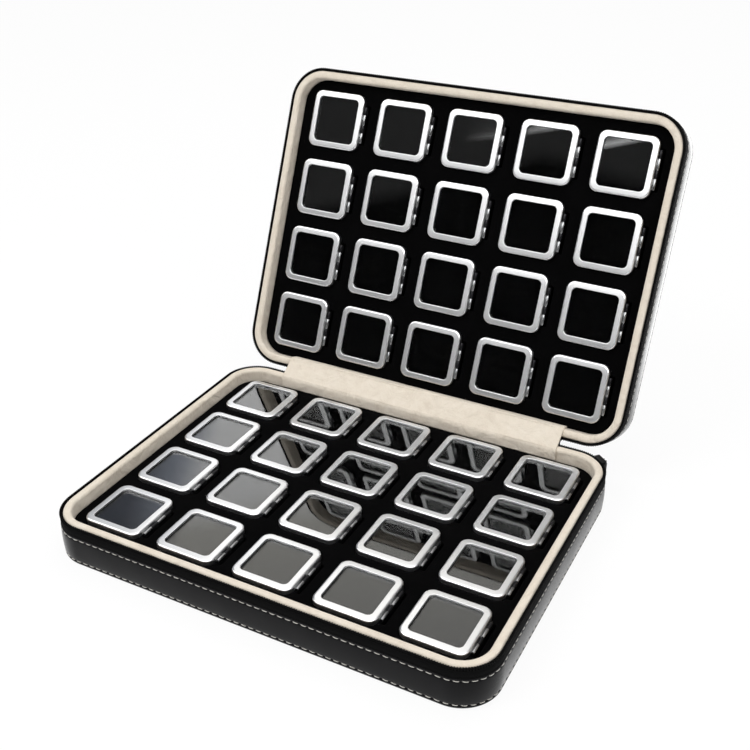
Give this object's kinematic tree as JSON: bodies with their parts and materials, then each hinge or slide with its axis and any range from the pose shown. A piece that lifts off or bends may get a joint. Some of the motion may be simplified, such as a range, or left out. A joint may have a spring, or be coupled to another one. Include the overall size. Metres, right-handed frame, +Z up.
{
  "type": "mineral specimen box",
  "caption": "Zip-up case in two hinged halves, each with a foam tray of square metal-framed gem boxes under clear windows",
  "frame": {"origin": "centre of the base's flat underside", "axes": "+Z up out of the open base, +Y to the spine, +X to the right seen from the front"},
  "size_m": [0.286, 0.3324, 0.2294],
  "materials": {
    "leatherette": "satin",
    "lining_suede": "matte",
    "foam_black": "matte",
    "zip_tape": "matte",
    "zip_coil": "satin",
    "zip_metal": "gloss",
    "satin_metal": "satin"
  },
  "bodies": {
    "base": {"base_shell": "leatherette", "base_lining": "lining_suede", "base_foam": "foam_black", "base_zip_tape": "zip_tape", "base_zip_coil": "zip_coil", "spine_cover": "leatherette", "spine_lining": "lining_suede"},
    "lid": {"lid_shell": "leatherette", "lid_lining": "lining_suede", "lid_foam": "foam_black", "lid_zip_tape": "zip_tape", "lid_zip_coil": "zip_coil"},
    "slider": {"zip_slider": "zip_metal"},
    "pull": {"zip_pull": "zip_metal"},
    "base_box_r4c1": {"base_box_r4c1": "satin_metal"},
    "base_box_r4c2": {"base_box_r4c2": "satin_metal"},
    "base_box_r4c3": {"base_box_r4c3": "satin_metal"},
    "base_box_r4c4": {"base_box_r4c4": "satin_metal"},
    "base_box_r4c5": {"base_box_r4c5": "satin_metal"},
    "base_box_r4c1_frame": {"base_box_r4c1_frame": "satin_metal"},
    "base_box_r4c2_frame": {"base_box_r4c2_frame": "satin_metal"},
    "base_box_r4c3_frame": {"base_box_r4c3_frame": "satin_metal"},
    "base_box_r4c4_frame": {"base_box_r4c4_frame": "satin_metal"},
    "base_box_r4c5_frame": {"base_box_r4c5_frame": "satin_metal"},
    "base_box_r1c1": {"base_box_r1c1": "satin_metal"},
    "base_box_r1c2": {"base_box_r1c2": "satin_metal"},
    "base_box_r1c3": {"base_box_r1c3": "satin_metal"},
    "base_box_r1c4": {"base_box_r1c4": "satin_metal"},
    "base_box_r1c5": {"base_box_r1c5": "satin_metal"},
    "base_box_r2c1": {"base_box_r2c1": "satin_metal"},
    "base_box_r2c2": {"base_box_r2c2": "satin_metal"},
    "base_box_r2c3": {"base_box_r2c3": "satin_metal"},
    "base_box_r2c4": {"base_box_r2c4": "satin_metal"},
    "base_box_r2c5": {"base_box_r2c5": "satin_metal"},
    "base_box_r3c1": {"base_box_r3c1": "satin_metal"},
    "base_box_r3c2": {"base_box_r3c2": "satin_metal"},
    "base_box_r3c3": {"base_box_r3c3": "satin_metal"},
    "base_box_r3c4": {"base_box_r3c4": "satin_metal"},
    "base_box_r3c5": {"base_box_r3c5": "satin_metal"},
    "lid_box_r1c1": {"lid_box_r1c1": "satin_metal"},
    "lid_box_r1c2": {"lid_box_r1c2": "satin_metal"},
    "lid_box_r1c3": {"lid_box_r1c3": "satin_metal"},
    "lid_box_r1c4": {"lid_box_r1c4": "satin_metal"},
    "lid_box_r1c5": {"lid_box_r1c5": "satin_metal"},
    "lid_box_r2c1": {"lid_box_r2c1": "satin_metal"},
    "lid_box_r2c2": {"lid_box_r2c2": "satin_metal"},
    "lid_box_r2c3": {"lid_box_r2c3": "satin_metal"},
    "lid_box_r2c4": {"lid_box_r2c4": "satin_metal"},
    "lid_box_r2c5": {"lid_box_r2c5": "satin_metal"},
    "lid_box_r3c1": {"lid_box_r3c1": "satin_metal"},
    "lid_box_r3c2": {"lid_box_r3c2": "satin_metal"},
    "lid_box_r3c3": {"lid_box_r3c3": "satin_metal"},
    "lid_box_r3c4": {"lid_box_r3c4": "satin_metal"},
    "lid_box_r3c5": {"lid_box_r3c5": "satin_metal"},
    "lid_box_r4c1": {"lid_box_r4c1": "satin_metal"},
    "lid_box_r4c2": {"lid_box_r4c2": "satin_metal"},
    "lid_box_r4c3": {"lid_box_r4c3": "satin_metal"},
    "lid_box_r4c4": {"lid_box_r4c4": "satin_metal"},
    "lid_box_r4c5": {"lid_box_r4c5": "satin_metal"}
  },
  "joints": [
    {"name": "lid_hinge", "type": "hinge", "parent": "base", "child": "lid", "pos_m": [0, 0.1098, 0.0294], "axis": [-1, 0, 0], "range_deg": [-113.5, 66.5], "deforming": ["spine_cover", "spine_lining"]},
    {"name": "zip_slider_travel", "type": "hinge", "parent": "base", "child": "slider", "pos_m": [0.119, 0.085, 0.0284], "axis": [0, 0, -1], "range_deg": [-8, 50]},
    {"name": "zip_pull_swing", "type": "hinge", "parent": "slider", "child": "pull", "pos_m": [0.13623, 0.10553, 0.0264], "axis": [0.766, -0.6428, 0], "range_deg": [0, 150]},
    {"name": "base_box_r4c1_lift", "type": "slide", "parent": "base", "child": "base_box_r4c1", "axis": [0, 0, 1], "range_m": [0, 0.025]},
    {"name": "base_box_r4c2_lift", "type": "slide", "parent": "base", "child": "base_box_r4c2", "axis": [0, 0, 1], "range_m": [0, 0.025]},
    {"name": "base_box_r4c3_lift", "type": "slide", "parent": "base", "child": "base_box_r4c3", "axis": [0, 0, 1], "range_m": [0, 0.025]},
    {"name": "base_box_r4c4_lift", "type": "slide", "parent": "base", "child": "base_box_r4c4", "axis": [0, 0, 1], "range_m": [0, 0.025]},
    {"name": "base_box_r4c5_lift", "type": "slide", "parent": "base", "child": "base_box_r4c5", "axis": [0, 0, 1], "range_m": [0, 0.025]},
    {"name": "base_box_r4c1_hinge", "type": "hinge", "parent": "base_box_r4c1", "child": "base_box_r4c1_frame", "pos_m": [-0.0845, -0.0741, 0.02115], "axis": [0, 1, 0], "range_deg": [0, 95]},
    {"name": "base_box_r4c2_hinge", "type": "hinge", "parent": "base_box_r4c2", "child": "base_box_r4c2_frame", "pos_m": [-0.0317, -0.0741, 0.02115], "axis": [0, 1, 0], "range_deg": [0, 95]},
    {"name": "base_box_r4c3_hinge", "type": "hinge", "parent": "base_box_r4c3", "child": "base_box_r4c3_frame", "pos_m": [0.0211, -0.0741, 0.02115], "axis": [0, 1, 0], "range_deg": [0, 95]},
    {"name": "base_box_r4c4_hinge", "type": "hinge", "parent": "base_box_r4c4", "child": "base_box_r4c4_frame", "pos_m": [0.0739, -0.0741, 0.02115], "axis": [0, 1, 0], "range_deg": [0, 95]},
    {"name": "base_box_r4c5_hinge", "type": "hinge", "parent": "base_box_r4c5", "child": "base_box_r4c5_frame", "pos_m": [0.1267, -0.0741, 0.02115], "axis": [0, 1, 0], "range_deg": [0, 95]},
    {"name": "base_box_r1c1_lift", "type": "slide", "parent": "base", "child": "base_box_r1c1", "axis": [0, 0, 1], "range_m": [0, 0.025]},
    {"name": "base_box_r1c2_lift", "type": "slide", "parent": "base", "child": "base_box_r1c2", "axis": [0, 0, 1], "range_m": [0, 0.025]},
    {"name": "base_box_r1c3_lift", "type": "slide", "parent": "base", "child": "base_box_r1c3", "axis": [0, 0, 1], "range_m": [0, 0.025]},
    {"name": "base_box_r1c4_lift", "type": "slide", "parent": "base", "child": "base_box_r1c4", "axis": [0, 0, 1], "range_m": [0, 0.025]},
    {"name": "base_box_r1c5_lift", "type": "slide", "parent": "base", "child": "base_box_r1c5", "axis": [0, 0, 1], "range_m": [0, 0.025]},
    {"name": "base_box_r2c1_lift", "type": "slide", "parent": "base", "child": "base_box_r2c1", "axis": [0, 0, 1], "range_m": [0, 0.025]},
    {"name": "base_box_r2c2_lift", "type": "slide", "parent": "base", "child": "base_box_r2c2", "axis": [0, 0, 1], "range_m": [0, 0.025]},
    {"name": "base_box_r2c3_lift", "type": "slide", "parent": "base", "child": "base_box_r2c3", "axis": [0, 0, 1], "range_m": [0, 0.025]},
    {"name": "base_box_r2c4_lift", "type": "slide", "parent": "base", "child": "base_box_r2c4", "axis": [0, 0, 1], "range_m": [0, 0.025]},
    {"name": "base_box_r2c5_lift", "type": "slide", "parent": "base", "child": "base_box_r2c5", "axis": [0, 0, 1], "range_m": [0, 0.025]},
    {"name": "base_box_r3c1_lift", "type": "slide", "parent": "base", "child": "base_box_r3c1", "axis": [0, 0, 1], "range_m": [0, 0.025]},
    {"name": "base_box_r3c2_lift", "type": "slide", "parent": "base", "child": "base_box_r3c2", "axis": [0, 0, 1], "range_m": [0, 0.025]},
    {"name": "base_box_r3c3_lift", "type": "slide", "parent": "base", "child": "base_box_r3c3", "axis": [0, 0, 1], "range_m": [0, 0.025]},
    {"name": "base_box_r3c4_lift", "type": "slide", "parent": "base", "child": "base_box_r3c4", "axis": [0, 0, 1], "range_m": [0, 0.025]},
    {"name": "base_box_r3c5_lift", "type": "slide", "parent": "base", "child": "base_box_r3c5", "axis": [0, 0, 1], "range_m": [0, 0.025]},
    {"name": "lid_box_r1c1_lift", "type": "slide", "parent": "lid", "child": "lid_box_r1c1", "axis": [0, -0.9171, 0.3987], "range_m": [0, 0.025]},
    {"name": "lid_box_r1c2_lift", "type": "slide", "parent": "lid", "child": "lid_box_r1c2", "axis": [0, -0.9171, 0.3987], "range_m": [0, 0.025]},
    {"name": "lid_box_r1c3_lift", "type": "slide", "parent": "lid", "child": "lid_box_r1c3", "axis": [0, -0.9171, 0.3987], "range_m": [0, 0.025]},
    {"name": "lid_box_r1c4_lift", "type": "slide", "parent": "lid", "child": "lid_box_r1c4", "axis": [0, -0.9171, 0.3987], "range_m": [0, 0.025]},
    {"name": "lid_box_r1c5_lift", "type": "slide", "parent": "lid", "child": "lid_box_r1c5", "axis": [0, -0.9171, 0.3987], "range_m": [0, 0.025]},
    {"name": "lid_box_r2c1_lift", "type": "slide", "parent": "lid", "child": "lid_box_r2c1", "axis": [0, -0.9171, 0.3987], "range_m": [0, 0.025]},
    {"name": "lid_box_r2c2_lift", "type": "slide", "parent": "lid", "child": "lid_box_r2c2", "axis": [0, -0.9171, 0.3987], "range_m": [0, 0.025]},
    {"name": "lid_box_r2c3_lift", "type": "slide", "parent": "lid", "child": "lid_box_r2c3", "axis": [0, -0.9171, 0.3987], "range_m": [0, 0.025]},
    {"name": "lid_box_r2c4_lift", "type": "slide", "parent": "lid", "child": "lid_box_r2c4", "axis": [0, -0.9171, 0.3987], "range_m": [0, 0.025]},
    {"name": "lid_box_r2c5_lift", "type": "slide", "parent": "lid", "child": "lid_box_r2c5", "axis": [0, -0.9171, 0.3987], "range_m": [0, 0.025]},
    {"name": "lid_box_r3c1_lift", "type": "slide", "parent": "lid", "child": "lid_box_r3c1", "axis": [0, -0.9171, 0.3987], "range_m": [0, 0.025]},
    {"name": "lid_box_r3c2_lift", "type": "slide", "parent": "lid", "child": "lid_box_r3c2", "axis": [0, -0.9171, 0.3987], "range_m": [0, 0.025]},
    {"name": "lid_box_r3c3_lift", "type": "slide", "parent": "lid", "child": "lid_box_r3c3", "axis": [0, -0.9171, 0.3987], "range_m": [0, 0.025]},
    {"name": "lid_box_r3c4_lift", "type": "slide", "parent": "lid", "child": "lid_box_r3c4", "axis": [0, -0.9171, 0.3987], "range_m": [0, 0.025]},
    {"name": "lid_box_r3c5_lift", "type": "slide", "parent": "lid", "child": "lid_box_r3c5", "axis": [0, -0.9171, 0.3987], "range_m": [0, 0.025]},
    {"name": "lid_box_r4c1_lift", "type": "slide", "parent": "lid", "child": "lid_box_r4c1", "axis": [0, -0.9171, 0.3987], "range_m": [0, 0.025]},
    {"name": "lid_box_r4c2_lift", "type": "slide", "parent": "lid", "child": "lid_box_r4c2", "axis": [0, -0.9171, 0.3987], "range_m": [0, 0.025]},
    {"name": "lid_box_r4c3_lift", "type": "slide", "parent": "lid", "child": "lid_box_r4c3", "axis": [0, -0.9171, 0.3987], "range_m": [0, 0.025]},
    {"name": "lid_box_r4c4_lift", "type": "slide", "parent": "lid", "child": "lid_box_r4c4", "axis": [0, -0.9171, 0.3987], "range_m": [0, 0.025]},
    {"name": "lid_box_r4c5_lift", "type": "slide", "parent": "lid", "child": "lid_box_r4c5", "axis": [0, -0.9171, 0.3987], "range_m": [0, 0.025]}
  ]
}
